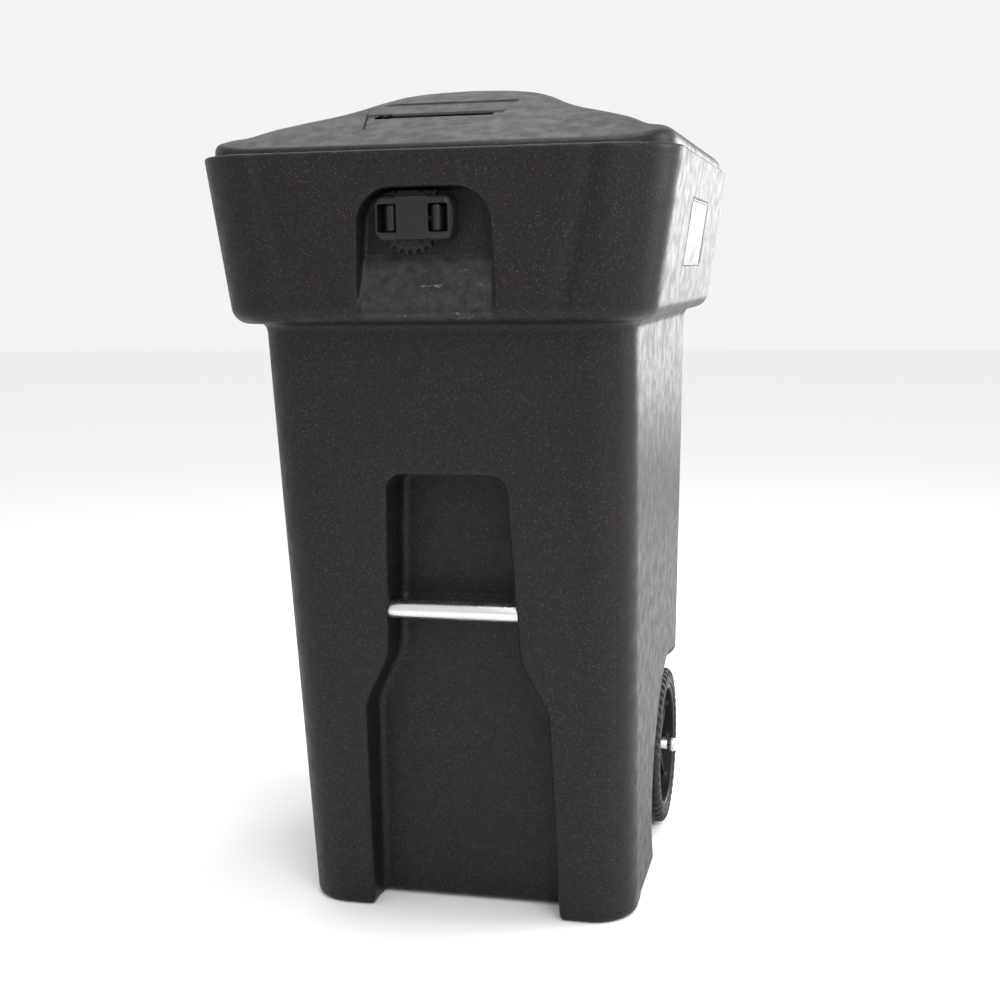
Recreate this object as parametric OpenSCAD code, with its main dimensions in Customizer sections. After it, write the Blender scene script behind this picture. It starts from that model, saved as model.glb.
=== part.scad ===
// Two-wheeled tilt-and-roll waste cart with an animal-resistant, double-lever
// lid latch. Origin on the ground under the middle of the cart, +X to the
// cart's own right seen from the front, +Y to the handle side, +Z up.

/* [Tub] */
// Width of the tub at the ground
tub_bottom_w = 479; // [440:1:520]
// Width of the tub under the collar
tub_top_w = 509; // [480:1:540]
// Distance from the origin to the tub's front face at the ground
tub_front_bottom = 280; // [260:1:300]
// Distance from the origin to the tub's front face under the collar
tub_front_top = 366; // [340:1:380]
// Distance from the origin to the tub's back face at the ground
tub_back_bottom = 243; // [240:1:255]
// Distance from the origin to the tub's back face under the collar
tub_back_top = 272; // [265:1:290]
// Radius of the tub's upright corners
tub_corner_r = 62; // [40:1:80]
// Thickness of the moulded walls
wall = 5; // [4:0.5:7]

/* [Collar] */
// Height of the collar's lower edge
collar_z0 = 846; // [830:1:860]
// Height of the collar's top
collar_z1 = 1062; // [1055:1:1070]
// Width of the collar at its lower edge
collar_bottom_w = 568; // [550:1:590]
// Width of the collar at its top
collar_top_w = 636; // [624:1:660]
// Distance from the origin to the collar's front face at its lower edge
collar_front_bottom = 418; // [410:1:425]
// Distance from the origin to the collar's front and to the handle's back
reach = 430; // [426:1:436]
// Width of the collar's in-turned lip
lip_w = 34; // [30:1:38]

/* [Lift recess] */
// Height of the top of the front recess
recess_top = 642; // [620:1:660]
// Height of the lift bar's axis
bar_z = 451; // [440:1:460]
// Diameter of the lift bar
bar_d = 25.4; // [22:0.1:28]

/* [Wheels] */
// Diameter of the wheels over the tread
wheel_d = 254; // [240:1:260]
// Width of the tyre
tyre_w = 45; // [38:1:46]
// Distance from the middle to the tyre's outer side
wheel_outer_x = 238; // [236:1:240]
// Diameter of the axle
axle_d = 16; // [14:0.5:18]
// Distance from the origin back to the axle
axle_y = 154; // [148:1:160]

/* [Lid] */
// Height of the crown of the lid
crown_z = 1166; // [1150:1:1175]
// Gap between the closed lid and the collar's lip
lid_gap = 0.4; // [0.3:0.1:1]
// Distance from the origin back to the hinge axis
hinge_y = 414; // [410:1:416]
// Height of the hinge axis
hinge_z = 1075; // [1074:1:1080]

/* [Latch] */
// Sideways offset of the latch housing
latch_x = -12; // [-16:1:0]
// Height of the middle of the latch housing
latch_z = 977.5; // [974:0.5:982]
// Width of the latch housing
housing_w = 104; // [98:1:108]
// Height of the latch housing
housing_h = 55; // [50:1:58]
// Travel of each lever towards the middle
lever_travel = 9; // [6:0.5:9]

/* [Hidden] */
$fn = 48;
slice = 0.01;                       // thickness of the slabs that hulls span

// ---- derived sizes ------------------------------------------------------
foot_h = 6;                         // how far the front feet reach below the floor
foot_back = -185;                   // where the feet end
floor_t = 6;
rear_floor_z = 190;                 // raised floor over the axle
rear_floor_y = 70;
pocket_x = 172;                     // half-width of the open space over the axle
well_x = 186;                       // inner side of the wheel wells
well_r = 184;
well_c = [118, 108];                // centre of the wheel well's arch, Y and Z
bar_y = -308;
bar_half = 117.5;
bar_boss_r = 19;
recess_floor = [-232, -0.065];      // Y at the ground and slope of the recess floor
collar_r_bottom = 76;
collar_r_top = 90;
collar_back_bottom = 338;
collar_back_top = 350;
panel_c = [-55, 959];               // middle of the label panels, Y and Z
panel_size = [209, 91];             // their depth along Y and height
panel_t = 1.6;
panel_recess = 2;
window_half = 82;                   // half-width and corner of the recess over the bar
window_r = 20;
pocket_floor_y = -392;
pocket_top = 1015;
pocket_half = [92, 86];             // half-width of the latch pocket, bottom and top
pocket_r = 45;
pocket_end_y = -415;                // where the pocket's ramp meets the collar's edge
pocket_step_z = 933;
axle_z = wheel_d / 2;
axle_half = 246;
axle_r = axle_d / 2;
run_gap = 0.05;                     // radial clearance of a running fit
tyre_r = wheel_d / 2;
rim_r = 101;
wheel_inner_x = wheel_outer_x - tyre_w;
hub_r = 22;
hub_x = [188.5, 219];
grip_r = reach - hinge_y;
bracket_x = [180, 205];
arm_x = [207, 232];
rod_r = 6;
rod_half = 238;
lid_z0 = collar_z1 + lid_gap;
lid_w = 612;
lid_front = 404;
lid_back = 340;
front_y = -429;                     // front of the latch housing
rosette_y = pocket_floor_y - 6;     // front of the rosette
rosette_c = [-24, 981];             // middle of the rosette, X and Z
wall_in_y = pocket_floor_y + wall;  // inner side of the pocket wall
plate_y = wall_in_y + 3;            // inner side of the back plate
bolt_y = [-377, -372];
lever_x = 29.5;                     // middle of a lever from the latch's middle
lever_w = 15;
lever_h = 33;
leg_x = [57, 61];                   // keeper leg from the latch's middle
screw_r = 2.5;
screw_off = 17;                     // latch screws above and below the middle
keeper_y = [-377.5, -345];

plastic = [0.10, 0.095, 0.09];
satin_plastic = [0.14, 0.14, 0.145];
steel = [0.75, 0.76, 0.78];
rubber = [0.07, 0.07, 0.07];

// ---- helpers ------------------------------------------------------------
function lerp(a, b, t) = a + (b - a) * t;
function arc(cx, cy, r, a0, a1, n) =
    [for (i = [0:n]) let (a = lerp(a0, a1, i / n)) [cx + r * cos(a), cy + r * sin(a)]];

// Plan outline with round corners: half-width, front and back distances
function plan(hw, front, back, r, n = 5) = concat(
    arc(hw - r, back - r, r, 0, 90, n), arc(r - hw, back - r, r, 90, 180, n),
    arc(r - hw, r - front, r, 180, 270, n), arc(hw - r, r - front, r, 270, 360, n));

module slab(hw, front, back, r, z)
    translate([0, 0, z]) linear_extrude(slice) polygon(plan(hw, front, back, r));

// Prism of an outline given in X and Z, from y0 to y1
module prism_y(y0, y1) translate([0, y1, 0]) rotate([90, 0, 0]) linear_extrude(y1 - y0) children();

// Prism of an outline given in Y and Z, from x0 to x1
module prism_x(x0, x1) translate([x0, 0, 0]) rotate([90, 0, 90]) linear_extrude(x1 - x0) children();

// Cylinder along X or Y, from a to b
module rod_x(a, b, y, z, r) translate([a, y, z]) rotate([0, 90, 0]) cylinder(h = b - a, r = r);
module rod_y(a, b, x, z, r) translate([x, a, z]) rotate([-90, 0, 0]) cylinder(h = b - a, r = r);

// Box from one corner to the other
module block(p, q) translate(p) cube(q - p);

module both_sides() {
    children();
    mirror([1, 0, 0]) children();
}

// ---- tub and collar -----------------------------------------------------
module tub_slab(z, grow) {
    t = z / collar_z0;
    slab(lerp(tub_bottom_w, tub_top_w, t) / 2 + grow,
         lerp(tub_front_bottom, tub_front_top, t) + grow,
         lerp(tub_back_bottom, tub_back_top, t) + grow, tub_corner_r + grow, z);
}

module collar_slab(z, grow) {
    t = (z - collar_z0) / (collar_z1 - collar_z0);
    slab(lerp(collar_bottom_w, collar_top_w, t) / 2 + grow, lerp(collar_front_bottom, reach, t) + grow,
         lerp(collar_back_bottom, collar_back_top, t) + grow,
         lerp(collar_r_bottom, collar_r_top, t) + grow, z);
}

module tub_outside() hull() {
    tub_slab(0, -9);
    tub_slab(3, -3.5);
    tub_slab(10, 0);
    tub_slab(collar_z0 + 4, 0);
}

module collar_outside() hull() {
    collar_slab(collar_z0, -16);
    collar_slab(collar_z0 + 5, -6);
    collar_slab(collar_z0 + 16, 0);
    collar_slab(collar_z1 - 6, 0);
    collar_slab(collar_z1 - slice, -5);
}

module tub_inside() hull() {
    tub_slab(foot_h + floor_t, -wall - 6);
    tub_slab(foot_h + floor_t + 10, -wall);
    tub_slab(collar_z0 + wall + 1, -wall);
}

module collar_inside() hull() {
    collar_slab(collar_z0 + wall, -wall - 14);
    collar_slab(collar_z0 + wall + 12, -wall);
    collar_slab(collar_z1 - 12, -wall);
}

module mouth() translate([0, 0, collar_z1 - 13]) linear_extrude(14)
    polygon(plan(collar_top_w / 2 - lip_w, reach - lip_w, collar_back_top - lip_w, collar_r_top - lip_w));

// Front recess: narrow window at the top, wide bay between the front feet.
// Each point is a height and the half-width there.
bay_side = [[bar_z, 90], [386, 93], [312, 130], [-20, 137]];
function recess_outline(g) = concat(
    [for (p = bay_side) [p[1] + g, p[0]]],
    [for (i = [len(bay_side) - 1:-1:0]) [-bay_side[i][1] - g, bay_side[i][0]]],
    arc(window_r - window_half, recess_top - window_r, window_r + g, 180, 90, 5),
    arc(window_half - window_r, recess_top - window_r, window_r + g, 90, 0, 5));

module recess(g) intersection() {
    prism_y(-460, -120) polygon(recess_outline(g));
    translate([0, recess_floor[0] + g, 0]) rotate([atan(-recess_floor[1]), 0, 0])
        block([-200, -300, -60], [200, 0, 700]);
}

module wheel_well(g) both_sides() rod_x(well_x - g, 320, well_c[0], well_c[1], well_r + g);

module pocket_outline(g) polygon(concat(
    [[-pocket_half[0] - g, collar_z0 - 30], [pocket_half[0] + g, collar_z0 - 30]],
    arc(pocket_half[1] - pocket_r, pocket_top - pocket_r, pocket_r + g, 0, 90, 6),
    arc(pocket_r - pocket_half[1], pocket_top - pocket_r, pocket_r + g, 90, 180, 6)));

// Arched latch pocket whose floor ramps out to the collar's lower edge
module latch_pocket(g) intersection() {
    prism_y(-460, -340) pocket_outline(g);
    prism_x(-200, 200) polygon([
        [-500, 1100], [pocket_floor_y + g, 1100], [pocket_floor_y + g, pocket_step_z - g],
        [pocket_floor_y - 6 + g, pocket_step_z - 6 - g], [pocket_end_y + g, collar_z0 + 4 - g],
        [pocket_end_y + g, collar_z0 - 30], [-500, collar_z0 - 30]]);
}

module handle_bracket() {
    prism_x(bracket_x[0], bracket_x[1]) polygon([
        [344, 972], [344, 1058], [hinge_y - 12, hinge_z + 14], [hinge_y + 11, hinge_z - 12]]);
    rod_x(bracket_x[0], bracket_x[1], hinge_y, hinge_z, grip_r);
}

// Side of the collar: origin in the middle of the label recess, X outwards
module side_frame() {
    t = (panel_c[1] - collar_z0) / (collar_z1 - collar_z0);
    slope = (collar_top_w - collar_bottom_w) / 2 / (collar_z1 - collar_z0);
    translate([lerp(collar_bottom_w, collar_top_w, t) / 2, panel_c[0], panel_c[1]])
        rotate([0, atan(slope), 0]) children();
}

// Block on the collar's side that stands g outside the label panel, from x0 to x1
module side_block(x0, x1, g) side_frame()
    block([x0, -panel_size[0] / 2 - g, -panel_size[1] / 2 - g], [x1, panel_size[0] / 2 + g, panel_size[1] / 2 + g]);

module latch_holes(r) for (s = [-1, 1]) rod_y(-420, -370, latch_x, latch_z + s * screw_off, r);

// Slots that the lever stems travel in
module stem_slots() for (s = [-1, 1]) {
    a = lever_x - lever_travel - 5.5;
    b = lever_x + 5;
    block([latch_x + min(s * a, s * b), -440, latch_z - 5.5], [latch_x + max(s * a, s * b), -360, latch_z + 5.5]);
}

module cart_body() color(plastic) difference() {
    union() {
        difference() {
            union() {
                tub_outside();
                collar_outside();
            }
            difference() {
                union() {
                    tub_inside();
                    collar_inside();
                }
                recess(wall);
                wheel_well(wall);
                latch_pocket(wall);
                block([-300, rear_floor_y, -5], [300, 300, rear_floor_z]);
                both_sides() rod_x(80, bar_half + 7, bar_y, bar_z, bar_boss_r);
                both_sides() side_block(-panel_recess - wall, 2, 5.5);
            }
            mouth();
        }
        both_sides() handle_bracket();
        rod_x(-bracket_x[0] - 1, bracket_x[0] + 1, hinge_y, hinge_z, grip_r);
    }
    block([-300, foot_back, -5], [300, 300, foot_h]);
    block([-133, -300, -5], [133, 300, foot_h]);
    recess(0);
    wheel_well(0);
    latch_pocket(0);
    block([-pocket_x, rear_floor_y + wall, -5], [pocket_x, 237, rear_floor_z - wall]);
    rod_x(-bar_half - 1, bar_half + 1, bar_y, bar_z, bar_d / 2 + run_gap);
    rod_x(-260, 260, axle_y, axle_z, axle_r + run_gap);
    rod_x(-260, 260, hinge_y, hinge_z, rod_r + run_gap);
    both_sides() side_block(-panel_recess, 20, 0.5);
    latch_holes(screw_r + 0.1);
    stem_slots();
}

module side_panel() side_block(-panel_recess, panel_t - panel_recess, 0);
module side_panel_right() color(satin_plastic) side_panel();
module side_panel_left() color(satin_plastic) mirror([1, 0, 0]) side_panel();

// ---- lift bar -----------------------------------------------------------
module catch_bar() color(steel) difference() {
    rod_x(-bar_half, bar_half, bar_y, bar_z, bar_d / 2);
    rod_x(-bar_half - 1, bar_half + 1, bar_y, bar_z, bar_d / 2 - 2);
}

module catch_bar_plugs() color(rubber) both_sides() {
    rod_x(bar_half - 14, bar_half, bar_y, bar_z, bar_d / 2 - 2.05);
    rod_x(bar_half, bar_half + 0.7, bar_y, bar_z, bar_d / 2 - 0.5);
}

// ---- axle and wheels ----------------------------------------------------
module axle() color(steel) rod_x(-axle_half, axle_half, axle_y, axle_z, axle_r);

module axle_washers() color(steel) both_sides() for (x = [[186.2, 188.2], [219.4, 221.4]])
    difference() {
        rod_x(x[0], x[1], axle_y, axle_z, 15);
        rod_x(x[0] - 1, x[1] + 1, axle_y, axle_z, axle_r);
    }

module axle_cap() color(steel) difference() {
    union() {
        rod_x(237, 248, axle_y, axle_z, 11);
        translate([248, axle_y, axle_z]) rotate([0, 90, 0]) cylinder(h = 2.5, r1 = 11, r2 = 8);
    }
    rod_x(230, axle_half, axle_y, axle_z, axle_r);
}
module axle_cap_right() axle_cap();
module axle_cap_left() mirror([1, 0, 0]) axle_cap();

// Turns a profile drawn as [radius, X] about the axle
module turned() translate([0, axle_y, axle_z]) rotate([0, 90, 0]) rotate_extrude($fn = 96) children();

spokes = 9;
module wheel_disc() color(satin_plastic) difference() {
    union() {
        turned() polygon([
            [axle_r + run_gap, hub_x[0]], [hub_r, hub_x[0]], [hub_r + 3, 204], [rim_r - 12, 206],
            [rim_r - 6, wheel_inner_x + 3], [rim_r, wheel_inner_x + 1],
            [rim_r, wheel_outer_x - 1], [rim_r - 6, wheel_outer_x - 3], [rim_r - 12, 215],
            [hub_r + 3, 212], [hub_r, hub_x[1]], [axle_r + run_gap, hub_x[1]]]);
        for (i = [0:spokes - 1]) translate([0, axle_y, axle_z]) rotate([i * 360 / spokes, 0, 0])
            block([200, -3, hub_r - 2], [226, 3, rim_r - 5]);
    }
    for (i = [0:spokes - 1]) translate([0, axle_y, axle_z]) rotate([(i + 0.5) * 360 / spokes, 0, 0])
        prism_x(190, 250) polygon([[-8, 36], [8, 36], [22, 80], [14, 86], [-14, 86], [-22, 80]]);
}
module wheel_disc_right() wheel_disc();
module wheel_disc_left() mirror([1, 0, 0]) wheel_disc();

lugs = 36;
module tyre() color(rubber) difference() {
    turned() polygon([
        [rim_r, wheel_inner_x + 1], [rim_r + 10, wheel_inner_x], [tyre_r - 8, wheel_inner_x + 1],
        [tyre_r - 1.5, wheel_inner_x + 8], [tyre_r, wheel_inner_x + 15],
        [tyre_r, wheel_outer_x - 15], [tyre_r - 1.5, wheel_outer_x - 8], [tyre_r - 8, wheel_outer_x - 1],
        [rim_r + 10, wheel_outer_x], [rim_r, wheel_outer_x - 1]]);
    for (i = [0:lugs - 1]) translate([0, axle_y, axle_z]) rotate([(i + 0.5) * 360 / lugs, 0, 0]) {
        block([wheel_inner_x - 2, -3.5, tyre_r - 5], [wheel_inner_x + 13, 3.5, tyre_r + 5]);
        block([wheel_outer_x - 13, -3.5, tyre_r - 5], [wheel_outer_x + 2, 3.5, tyre_r + 5]);
    }
}
module tyre_right() tyre();
module tyre_left() mirror([1, 0, 0]) tyre();

// ---- lid ----------------------------------------------------------------
// The dome's levels: [height below the crown's datum, half-width, front, back, corner]
function lid_levels() = [
    [lid_z0 + 21, lid_w / 2, lid_front, lid_back, 72], [lid_z0 + 28, lid_w / 2 - 9, lid_front - 12, lid_back - 10, 66],
    [1112, 280, 300, 175, 60], [1142, 150, 244, 60, 50], [1154, 118, 216, -10, 40],
    [crown_z - 4, 80, 200, -90, 30], [crown_z - slice, 30, 190, -125, 20]];

module dome(g) hull() for (level = lid_levels())
    slab(level[1] - g, level[2] - g, level[3] - g, level[4] - g, level[0] - g);

module lid_outside() hull() {
    slab(lid_w / 2 - 3, lid_front - 3, lid_back - 3, 70, lid_z0);
    slab(lid_w / 2, lid_front, lid_back, 72, lid_z0 + 4);
    dome(0);
}

module lid_inside() hull() {
    slab(lid_w / 2 - wall, lid_front - wall, lid_back - wall, 68, lid_z0 + 5);
    dome(wall);
}

// Shallow tilted panel on the lid's front slope
module lid_panel() translate([-10, -392, 1075]) rotate([atan(0.45), 0, 0])
    linear_extrude(20) polygon([[-82, 52], [66, 52], [94, 158], [-110, 158]]);

module lid_arm() difference() {
    union() {
        prism_x(arm_x[0], arm_x[1]) polygon([
            [322, lid_z0 + 1.6], [352, lid_z0 + 1.6], [hinge_y, hinge_z - 15], [hinge_y, hinge_z + 15], [322, 1086]]);
        rod_x(arm_x[0], arm_x[1], hinge_y, hinge_z, grip_r);
    }
    rod_x(200, 240, hinge_y, hinge_z, 9);
}

module lid() color(plastic) union() {
    difference() {
        lid_outside();
        difference() {
            lid_inside();
            block([latch_x - 64, -386, 1050], [latch_x + 64, -338, 1100]);
        }
        translate([0, 0, lid_z0 - 1]) linear_extrude(7)
            difference() {
                polygon(plan(lid_w / 2 - 18, lid_front - 18, lid_back - 34, 56));
                translate([latch_x - 64, -387]) square([128, 49]);
            }
        for (s = [-1, 1]) translate([latch_x + 36 * s, -355, lid_z0 - 3]) cylinder(h = 17, r = screw_r);
    }
    both_sides() lid_arm();
}

// ---- hinge --------------------------------------------------------------
module hinge_rod() color(steel) rod_x(-rod_half, rod_half, hinge_y, hinge_z, rod_r);

module hinge_rod_caps() color(steel) both_sides() difference() {
    rod_x(233.3, 241, hinge_y, hinge_z, 10);
    rod_x(230, rod_half, hinge_y, hinge_z, rod_r);
}

module hinge_bush() color(rubber) difference() {
    union() {
        rod_x(206, arm_x[1], hinge_y, hinge_z, 9);
        rod_x(205.4, arm_x[0], hinge_y, hinge_z, 13);
    }
    rod_x(200, 240, hinge_y, hinge_z, rod_r + run_gap);
}
module hinge_bush_right() hinge_bush();
module hinge_bush_left() mirror([1, 0, 0]) hinge_bush();

// ---- latch --------------------------------------------------------------
// Moves a shape drawn for the right-hand side about the latch's middle
module latch_right() translate([latch_x, 0, latch_z]) children();
module latch_left() translate([latch_x, 0, latch_z]) mirror([1, 0, 0]) children();

scallops = 26;
module latch_rosette() color(satin_plastic) difference() {
    intersection() {
        union() {
            rod_y(rosette_y, pocket_floor_y, rosette_c[0], rosette_c[1], 44);
            for (i = [0:scallops - 1]) let (a = i * 360 / scallops)
                rod_y(rosette_y, pocket_floor_y, rosette_c[0] + 45 * cos(a), rosette_c[1] + 45 * sin(a), 3.6);
        }
        prism_y(rosette_y - 1, pocket_floor_y + 1) pocket_outline(-1.5);
    }
    stem_slots();
    latch_holes(screw_r + 0.1);
}

function housing_outline(g, c = 9) = let (w = housing_w / 2 - g, h = housing_h / 2 - g)
    [[w, c - h], [w, h - c], [w - c * 0.7, h], [c * 0.7 - w, h], [-w, h - c], [-w, c - h], [c * 0.7 - w, -h], [w - c * 0.7, -h]];

module latch_housing() color(satin_plastic) difference() {
    latch_right() hull() {
        prism_y(front_y + 7, rosette_y) polygon(housing_outline(0));
        prism_y(front_y, rosette_y) polygon(housing_outline(3.5));
    }
    for (s = [-1, 1]) latch_right() {
        // room for the lever behind the bridge, then its window
        block([s > 0 ? 5 : -46, front_y + 4, -20], [s > 0 ? 46 : -5, 0, 20]);
        block([s > 0 ? 21 : -45.5, front_y - 1, -17.5], [s > 0 ? 45.5 : -21, 0, 17.5]);
    }
    latch_holes(screw_r);
}

// Channel that the bolts slide in, on the inner side of the pocket wall
module latch_back_plate() color(steel) difference() {
    latch_right() union() {
        block([-46, wall_in_y, -24], [46, plate_y, 24]);
        for (s = [-1, 1]) block([-46, wall_in_y, s > 0 ? 7.5 : -9.5], [46, bolt_y[1] + 1, s > 0 ? 9.5 : -7.5]);
    }
    stem_slots();
    latch_holes(screw_r + 0.1);
}

module latch_screws() color(steel) for (s = [-1, 1]) {
    rod_y(-412, plate_y, latch_x, latch_z + s * screw_off, screw_r - 0.05);
    rod_y(plate_y, plate_y + 3, latch_x, latch_z + s * screw_off, 4.5);
}

module latch_lever() color(satin_plastic) difference() {
    union() {
        translate([lever_x, -417, -lever_h / 2]) cylinder(h = lever_h, r = lever_w / 2);
        block([lever_x - lever_w / 2, -417, -lever_h / 2], [lever_x + lever_w / 2, rosette_y - 0.4, lever_h / 2]);
        block([lever_x - 10.5, rosette_y - 4, -19], [lever_x + 10.5, rosette_y - 0.4, 19]);
        block([lever_x - 4, rosette_y - 1, -4.5], [lever_x + 4, bolt_y[0], 4.5]);
    }
    rod_y(-396, -370, lever_x, 0, 2);
}
module latch_lever_right() latch_right() latch_lever();
module latch_lever_left() latch_left() latch_lever();

// Bolt with a ramped nose for slamming the lid shut
module latch_bolt() color(steel) difference() {
    prism_y(bolt_y[0], bolt_y[1]) polygon([[14, -7], [56.6, -7], [56.6, -2], [48, 7], [14, 7]]);
    rod_y(-390, -360, lever_x, 0, 2.1);
}
module latch_bolt_right() latch_right() latch_bolt();
module latch_bolt_left() latch_left() latch_bolt();

module lever_screw() color(steel) {
    rod_y(-394, bolt_y[1], lever_x, 0, 1.95);
    rod_y(bolt_y[1], bolt_y[1] + 2.6, lever_x, 0, 4);
}
module lever_screw_right() latch_right() lever_screw();
module lever_screw_left() latch_left() lever_screw();

// Compression spring between the housing's rib and a lever
spring_turns = 6;
spring_r = 4.2;
wire_r = 0.55;
spring_x = [5.3, 21.7];
function ring(i, steps, sides) = let (
    a = 360 * spring_turns * i / steps,
    x = lerp(spring_x[0] + wire_r, spring_x[1] - wire_r, i / steps))
    [for (j = [0:sides - 1]) let (b = 360 * j / sides, r = spring_r + wire_r * cos(b))
        [x + wire_r * sin(b), -410 + r * cos(a), r * sin(a)]];

module spring() color(steel) {
    steps = spring_turns * 12;
    sides = 6;
    polyhedron(
        points = [for (i = [0:steps]) for (p = ring(i, steps, sides)) p],
        faces = concat(
            [[for (j = [0:sides - 1]) j]],
            [for (i = [0:steps - 1]) for (j = [0:sides - 1]) let (k = (j + 1) % sides, n = i * sides)
                [n + j, n + sides + j, n + sides + k, n + k]],
            [[for (j = [sides - 1:-1:0]) steps * sides + j]]));
}
module latch_spring_right() latch_right() spring();
module latch_spring_left() latch_left() spring();

// Strike bracket under the lid: a plate with two hanging legs
module keeper() color(steel) difference() {
    latch_right() union() {
        block([-leg_x[1], -372, 1057 - latch_z], [leg_x[1], keeper_y[1], 1060 - latch_z]);
        for (s = [-1, 1]) {
            x0 = s > 0 ? leg_x[0] : -leg_x[1];
            block([x0, keeper_y[0], -16], [x0 + 4, -365.5, 1060 - latch_z]);
        }
    }
    block([-100, -390, latch_z - 8.5], [100, -369, latch_z + 8.5]);
    for (s = [-1, 1]) translate([latch_x + 36 * s, -355, 1050]) cylinder(h = 20, r = screw_r + 0.1);
}

module keeper_screws() color(steel) for (s = [-1, 1]) translate([latch_x + 36 * s, -355, 0]) {
    translate([0, 0, 1054]) cylinder(h = 3, r = 4.5);
    translate([0, 0, 1057]) cylinder(h = 18, r = screw_r - 0.05);
}

cart_body();
lid();
hinge_rod();
hinge_rod_caps();
hinge_bush_left();
hinge_bush_right();
catch_bar();
catch_bar_plugs();
axle();
axle_washers();
axle_cap_left();
axle_cap_right();
wheel_disc_left();
wheel_disc_right();
tyre_left();
tyre_right();
latch_rosette();
latch_housing();
latch_back_plate();
latch_screws();
latch_lever_left();
latch_lever_right();
latch_spring_left();
latch_spring_right();
latch_bolt_left();
latch_bolt_right();
lever_screw_left();
lever_screw_right();
keeper();
keeper_screws();
side_panel_left();
side_panel_right();
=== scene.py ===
"""Two-wheeled waste cart: moulded shells, latch, wheels, lift bar and studio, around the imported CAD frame.

Moulded pieces are built from distance fields: each shape is a function of millimetre coordinates that is
negative inside the plastic, corners are rounded by round_cut and round_join, and mesh_of() turns the field
into a quad mesh. Lengths in the fields are millimetres in the frame's axes; meshes are metres.
"""

import math

import bmesh
import bpy
import numpy as np
from mathutils import Matrix, Vector


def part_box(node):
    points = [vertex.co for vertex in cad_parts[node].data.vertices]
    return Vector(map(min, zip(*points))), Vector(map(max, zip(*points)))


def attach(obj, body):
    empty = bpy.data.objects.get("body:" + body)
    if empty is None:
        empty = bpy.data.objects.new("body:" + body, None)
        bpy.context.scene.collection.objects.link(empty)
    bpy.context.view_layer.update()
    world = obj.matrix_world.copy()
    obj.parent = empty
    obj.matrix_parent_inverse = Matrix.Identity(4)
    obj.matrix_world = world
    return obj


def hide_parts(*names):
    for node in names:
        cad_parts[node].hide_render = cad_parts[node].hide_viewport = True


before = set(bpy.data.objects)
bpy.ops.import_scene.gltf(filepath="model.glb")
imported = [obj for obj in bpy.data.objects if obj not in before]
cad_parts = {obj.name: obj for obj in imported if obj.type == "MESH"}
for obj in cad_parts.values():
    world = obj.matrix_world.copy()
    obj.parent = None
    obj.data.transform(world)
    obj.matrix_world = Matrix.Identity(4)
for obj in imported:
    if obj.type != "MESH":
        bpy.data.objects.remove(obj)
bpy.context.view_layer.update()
MM = 0.001


def box_mm(node):
    """Lowest and highest corners of a CAD node, in millimetres."""
    low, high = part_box(node)
    return np.array(low) / MM, np.array(high) / MM


# ---------------------------------------------------------------- places taken from the frame
BODY_LOW, BODY_HIGH = box_mm("cart_body")
LID_LOW, LID_HIGH = box_mm("lid")
HOUSING_LOW, HOUSING_HIGH = box_mm("latch_housing")
LATCH_X, LATCH_Z = (HOUSING_LOW[0] + HOUSING_HIGH[0]) / 2, (HOUSING_LOW[2] + HOUSING_HIGH[2]) / 2
ROSETTE_LOW, ROSETTE_HIGH = box_mm("latch_rosette")
ROSETTE_X, ROSETTE_Z = -24.0, 981.0
BAR_LOW, BAR_HIGH = box_mm("catch_bar")
BAR_Y, BAR_Z = (BAR_LOW[1] + BAR_HIGH[1]) / 2, (BAR_LOW[2] + BAR_HIGH[2]) / 2
TYRE_LOW, TYRE_HIGH = box_mm("tyre_right")
AXLE_LOW, AXLE_HIGH = box_mm("axle")
AXLE_Y, AXLE_Z = (AXLE_LOW[1] + AXLE_HIGH[1]) / 2, (AXLE_LOW[2] + AXLE_HIGH[2]) / 2
PANEL_LOW, PANEL_HIGH = box_mm("side_panel_right")
ROD_LOW, ROD_HIGH = box_mm("hinge_rod")
HINGE_Y, HINGE_Z = (ROD_LOW[1] + ROD_HIGH[1]) / 2, (ROD_LOW[2] + ROD_HIGH[2]) / 2

# ---------------------------------------------------------------- moulded body, as in the CAD model
REACH = -BODY_LOW[1]
BODY_SKIN, LID_SKIN = 6.2, 5.8           # wall thicknesses
COLLAR_Z0, COLLAR_Z1 = 846.0, 1062.0
COLLAR_HALF = (284.0, BODY_HIGH[0])
COLLAR_FRONT = (418.0, REACH)
COLLAR_BACK = (338.0, 350.0)
COLLAR_R = (76.0, 90.0)
COLLAR_CREASE = ((866, 1058), (173, 215))   # heights, and X of the crease there
CREASE_DEPTH, CREASE_W = 4.0, 13.0
LIP_W, LIP_T = 34.0, 12.0
TUB_HALF = (239.5, 254.5)
TUB_FRONT = (280.0, 366.0)
TUB_BACK = (243.0, 272.0)
TUB_R = 62.0
FOOT_H, FOOT_BACK, FOOT_X = 6.0, -185.0, 133.0
RECESS_TOP = 642.0
RECESS_HALF = ((-20, 137), (312, 130), (386, 93), (451, 90), (622, 82), (700, 80))
RECESS_FLOOR = (-232.0, -0.065)
WELL_X, WELL_R, WELL_Y, WELL_Z = 186.0, 184.0, 118.0, 108.0
BAY_HALF, BAY_FRONT, BAY_BACK, BAY_TOP = 172.0, 75.0, 237.0, 185.0
POCKET_FLOOR, POCKET_TOP, POCKET_R, POCKET_STEP = -392.0, 1015.0, 45.0, 933.0
SOCKET_R, SOCKET_X = 19.0, (84.0, 124.0)
BORE_R, BORE_END = 13.2, 119.0
BRACKET_X = (180.0, 205.0)
PANEL_GAP, PANEL_DEPTH = 1.2, 2.2
GRIP_R = REACH - HINGE_Y - 1.0


# ---------------------------------------------------------------- distance fields
def lerp(a, b, t):
    return a + (b - a) * t


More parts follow.
